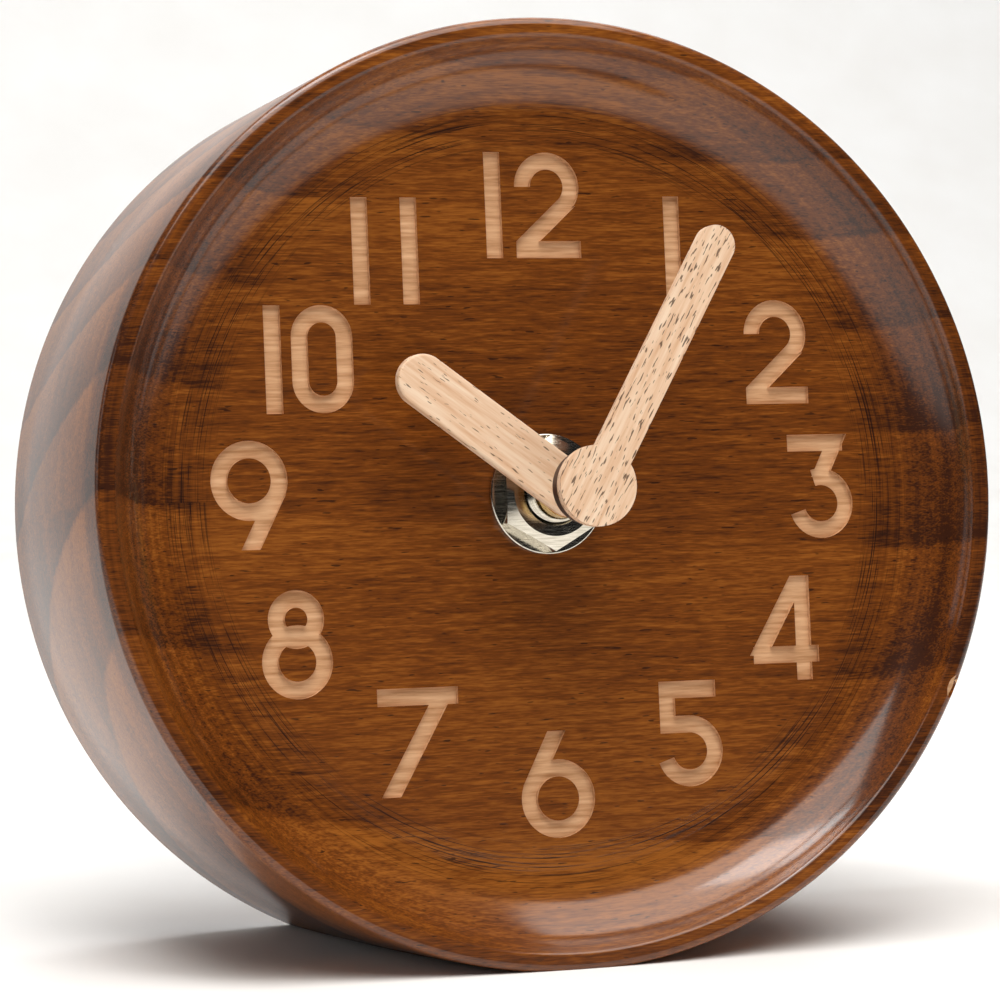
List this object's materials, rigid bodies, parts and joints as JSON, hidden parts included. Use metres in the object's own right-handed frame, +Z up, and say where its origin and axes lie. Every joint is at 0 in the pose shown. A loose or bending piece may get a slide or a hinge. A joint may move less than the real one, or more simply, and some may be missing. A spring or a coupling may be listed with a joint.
{
  "type": "desk clock",
  "caption": "Round desk clock turned from stained wood, with a dished dial, engraved numerals, plain wooden hands and a battery quartz movement in its back.",
  "frame": {"origin": "middle of the flat under the wooden case that the clock rests on, where it meets the table", "axes": "+Z up, +X to the right as the dial is read, +Y from the dial to the back; the dial looks towards -Y and leans back by 6.5 degrees"},
  "size_m": [0.127, 0.0672, 0.1258],
  "materials": {
    "case_wood": "brown stained softwood under clear satin lacquer",
    "hand_wood": "pale bare wood, sanded",
    "boss_brown": "dark brown, matte",
    "brass": "bare brass, turned",
    "black_plastic": "moulded, fine grain",
    "knob_plastic": "moulded, satin",
    "clear_plastic": "moulded, satin",
    "nickel": "bright nickel plate",
    "rubber": "matte",
    "arbor_metal": "turned brass",
    "wheel_plastic": "moulded acetal, satin",
    "magnet": "sintered, dark grey",
    "steel": "stamped soft magnetic sheet",
    "bobbin_plastic": "moulded",
    "copper_wire": "enamelled copper wire, wound",
    "board": "glass-fibre board with green solder mask",
    "chip_resin": "black resin drop",
    "contact_metal": "nickelled spring strip",
    "battery_jacket": "plain wrapped steel can"
  },
  "bodies": {
    "case": {"wood_case": "case_wood", "movement_case": "black_plastic", "movement_cover": "black_plastic", "middle_plate": "clear_plastic", "threaded_bush": "nickel", "hex_nut": "nickel", "washer": "nickel", "gasket": "rubber", "stator": "steel", "coil_core": "steel", "coil_bobbin": "bobbin_plastic", "coil_winding": "copper_wire", "circuit_board": "board", "clock_chip": "chip_resin", "quartz_crystal": "nickel", "plus_contact": "contact_metal", "minus_contact": "contact_metal", "battery": "battery_jacket"},
    "minute": {"minute_arbor": "arbor_metal", "minute_hand": "hand_wood", "minute_hand_boss": "boss_brown", "clutch_spring": "brass"},
    "hour": {"hour_wheel": "wheel_plastic", "hour_hand": "hand_wood", "hour_hand_collet": "brass"},
    "motion": {"motion_wheel": "wheel_plastic", "setting_knob": "knob_plastic"},
    "drive": {"drive_wheel": "brass"},
    "third": {"third_wheel": "wheel_plastic"},
    "seconds": {"seconds_wheel": "wheel_plastic"},
    "fifth": {"fifth_wheel": "wheel_plastic"},
    "rotor": {"rotor": "wheel_plastic", "rotor_magnet": "magnet"}
  },
  "joints": [
    {"name": "minute_turn", "type": "hinge", "parent": "case", "child": "minute", "pos_m": [0, -0.01449, 0.06256], "axis": [0, 0.9936, -0.1132], "continuous": true},
    {"name": "hour_turn", "type": "hinge", "parent": "case", "child": "hour", "pos_m": [0, -0.01449, 0.06256], "axis": [0, 0.9936, -0.1132], "continuous": true},
    {"name": "motion_turn", "type": "hinge", "parent": "case", "child": "motion", "pos_m": [-0.00866, 0.00098, 0.06584], "axis": [0, 0.9936, -0.1132], "continuous": true},
    {"name": "rotor_turn", "type": "hinge", "parent": "case", "child": "rotor", "pos_m": [0.0035, 0.00599, 0.07455], "axis": [0, 0.9936, -0.1132], "continuous": true},
    {"name": "fifth_turn", "type": "hinge", "parent": "case", "child": "fifth", "pos_m": [0, 0.0063, 0.06841], "axis": [0, 0.9936, -0.1132], "continuous": true},
    {"name": "seconds_turn", "type": "hinge", "parent": "case", "child": "seconds", "pos_m": [0, 0.00538, 0.0603], "axis": [0, 0.9936, -0.1132], "continuous": true},
    {"name": "third_turn", "type": "hinge", "parent": "case", "child": "third", "pos_m": [0.00744, 0.0037, 0.06322], "axis": [0, 0.9936, -0.1132], "continuous": true},
    {"name": "drive_turn", "type": "hinge", "parent": "case", "child": "drive", "pos_m": [0, 0.0024, 0.06064], "axis": [0, 0.9936, -0.1132], "continuous": true}
  ],
  "couplings": [
    {"joint": "motion_turn", "follows": "minute_turn", "ratio": -0.33333},
    {"joint": "hour_turn", "follows": "minute_turn", "ratio": 0.083333},
    {"joint": "fifth_turn", "follows": "rotor_turn", "ratio": -0.16667},
    {"joint": "seconds_turn", "follows": "rotor_turn", "ratio": 0.033333},
    {"joint": "third_turn", "follows": "rotor_turn", "ratio": -0.0044444},
    {"joint": "drive_turn", "follows": "rotor_turn", "ratio": 0.00055556}
  ]
}
